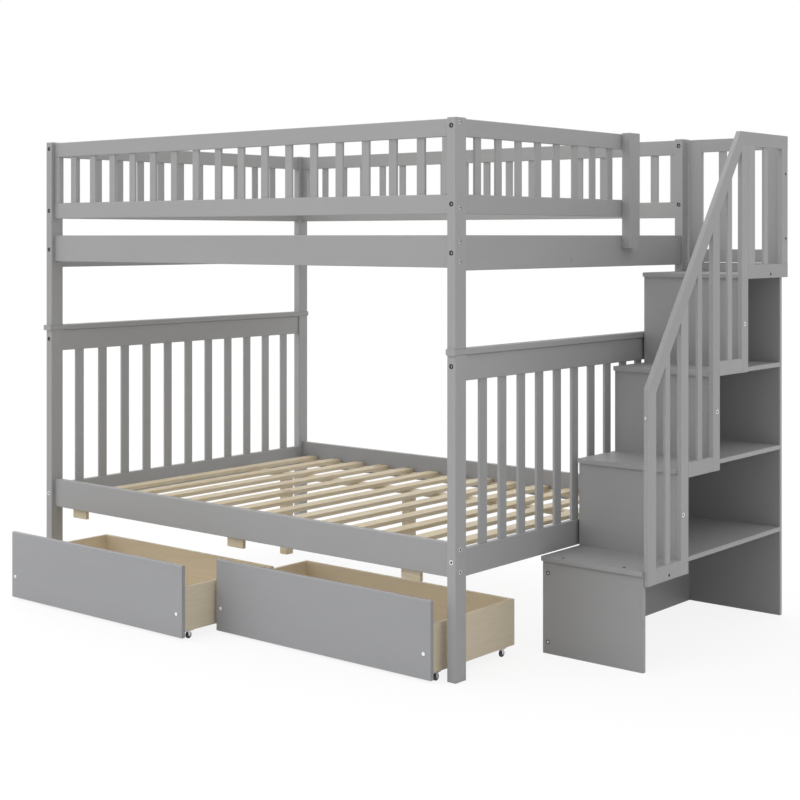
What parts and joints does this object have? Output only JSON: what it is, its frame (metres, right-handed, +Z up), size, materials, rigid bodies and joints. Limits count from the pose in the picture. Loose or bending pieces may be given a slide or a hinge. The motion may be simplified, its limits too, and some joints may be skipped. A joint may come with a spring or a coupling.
{
  "type": "bunk bed",
  "caption": "Full over full wooden bunk bed with slatted ends, guard rails, a storage stair with handrail and rolling under-bed drawers",
  "frame": {"origin": "middle of the front left post's foot face, on the floor", "axes": "+X along the bed from its left end to the stair, +Y from the front to the back, +Z up"},
  "size_m": [2.409, 1.645, 1.723],
  "materials": {
    "grey_paint": "satin grey paint on pine",
    "drawer_paint": "satin grey paint on board",
    "pine": "plain pine",
    "plywood": "plain plywood",
    "black_plastic": "moulded",
    "steel": "zinc plated"
  },
  "bodies": {
    "bed_and_stair": {"lower_left_posts": "grey_paint", "lower_right_posts": "grey_paint", "panel_caps": "grey_paint", "left_panel_rails": "grey_paint", "left_panel_slats": "grey_paint", "right_panel_rails": "grey_paint", "right_panel_slats": "grey_paint", "lower_front_rail": "grey_paint", "lower_rear_rail": "grey_paint", "lower_ledgers": "pine", "lower_deck_slats": "pine", "support_beam": "pine", "beam_legs": "pine", "rail_blocks": "pine", "upper_left_posts": "grey_paint", "upper_right_posts": "grey_paint", "upper_front_rail": "grey_paint", "upper_rear_rail": "grey_paint", "upper_end_rails": "grey_paint", "upper_ledgers": "pine", "upper_deck_slats": "pine", "upper_beam": "pine", "front_guard_rails": "grey_paint", "front_guard_slats": "grey_paint", "rear_guard_rails": "grey_paint", "rear_guard_slats": "grey_paint", "left_guard_rails": "grey_paint", "left_guard_slats": "grey_paint", "right_guard_rails": "grey_paint", "right_guard_slats": "grey_paint", "entry_stile": "grey_paint", "stair_side": "grey_paint", "stair_rear": "grey_paint", "stair_risers": "grey_paint", "stair_treads": "grey_paint", "handrail_posts": "grey_paint", "handrail_foot_rails": "grey_paint", "handrail_slats": "grey_paint", "handrail_climb": "grey_paint", "handrail_top_rails": "grey_paint", "landing_guard": "grey_paint", "bolts_and_pins": "steel"},
    "left_drawer": {"left_drawer_front": "drawer_paint", "left_drawer_sides": "plywood", "left_drawer_ends": "plywood", "left_drawer_bottom": "plywood", "left_drawer_casters": "steel"},
    "right_drawer": {"right_drawer_front": "drawer_paint", "right_drawer_sides": "plywood", "right_drawer_ends": "plywood", "right_drawer_bottom": "plywood", "right_drawer_casters": "steel"},
    "left_drawer_wheel_1": {"left_drawer_wheel_1": "black_plastic"},
    "left_drawer_wheel_2": {"left_drawer_wheel_2": "black_plastic"},
    "left_drawer_wheel_3": {"left_drawer_wheel_3": "black_plastic"},
    "left_drawer_wheel_4": {"left_drawer_wheel_4": "black_plastic"},
    "right_drawer_wheel_1": {"right_drawer_wheel_1": "black_plastic"},
    "right_drawer_wheel_2": {"right_drawer_wheel_2": "black_plastic"},
    "right_drawer_wheel_3": {"right_drawer_wheel_3": "black_plastic"},
    "right_drawer_wheel_4": {"right_drawer_wheel_4": "black_plastic"}
  },
  "joints": [
    {"name": "left_drawer_slide", "type": "slide", "parent": "bed_and_stair", "child": "left_drawer", "axis": [0, -1, 0], "range_m": [-0.214, 0.226]},
    {"name": "right_drawer_slide", "type": "slide", "parent": "bed_and_stair", "child": "right_drawer", "axis": [0, -1, 0], "range_m": [-0.064, 0.376]},
    {"name": "left_drawer_wheel_1_roll", "type": "hinge", "parent": "left_drawer", "child": "left_drawer_wheel_1", "pos_m": [0.052, -0.187, 0.012], "axis": [1, 0, 0], "continuous": true},
    {"name": "left_drawer_wheel_2_roll", "type": "hinge", "parent": "left_drawer", "child": "left_drawer_wheel_2", "pos_m": [0.052, 0.155, 0.012], "axis": [1, 0, 0], "continuous": true},
    {"name": "left_drawer_wheel_3_roll", "type": "hinge", "parent": "left_drawer", "child": "left_drawer_wheel_3", "pos_m": [0.969, -0.187, 0.012], "axis": [1, 0, 0], "continuous": true},
    {"name": "left_drawer_wheel_4_roll", "type": "hinge", "parent": "left_drawer", "child": "left_drawer_wheel_4", "pos_m": [0.969, 0.155, 0.012], "axis": [1, 0, 0], "continuous": true},
    {"name": "right_drawer_wheel_1_roll", "type": "hinge", "parent": "right_drawer", "child": "right_drawer_wheel_1", "pos_m": [1.001, -0.037, 0.012], "axis": [1, 0, 0], "continuous": true},
    {"name": "right_drawer_wheel_2_roll", "type": "hinge", "parent": "right_drawer", "child": "right_drawer_wheel_2", "pos_m": [1.001, 0.305, 0.012], "axis": [1, 0, 0], "continuous": true},
    {"name": "right_drawer_wheel_3_roll", "type": "hinge", "parent": "right_drawer", "child": "right_drawer_wheel_3", "pos_m": [1.918, -0.037, 0.012], "axis": [1, 0, 0], "continuous": true},
    {"name": "right_drawer_wheel_4_roll", "type": "hinge", "parent": "right_drawer", "child": "right_drawer_wheel_4", "pos_m": [1.918, 0.305, 0.012], "axis": [1, 0, 0], "continuous": true}
  ],
  "couplings": [
    {"joint": "left_drawer_wheel_1_roll", "follows": "left_drawer_slide", "rad_per_m": 83.333},
    {"joint": "left_drawer_wheel_2_roll", "follows": "left_drawer_slide", "rad_per_m": 83.333},
    {"joint": "left_drawer_wheel_3_roll", "follows": "left_drawer_slide", "rad_per_m": 83.333},
    {"joint": "left_drawer_wheel_4_roll", "follows": "left_drawer_slide", "rad_per_m": 83.333},
    {"joint": "right_drawer_wheel_1_roll", "follows": "right_drawer_slide", "rad_per_m": 83.333},
    {"joint": "right_drawer_wheel_2_roll", "follows": "right_drawer_slide", "rad_per_m": 83.333},
    {"joint": "right_drawer_wheel_3_roll", "follows": "right_drawer_slide", "rad_per_m": 83.333},
    {"joint": "right_drawer_wheel_4_roll", "follows": "right_drawer_slide", "rad_per_m": 83.333}
  ]
}
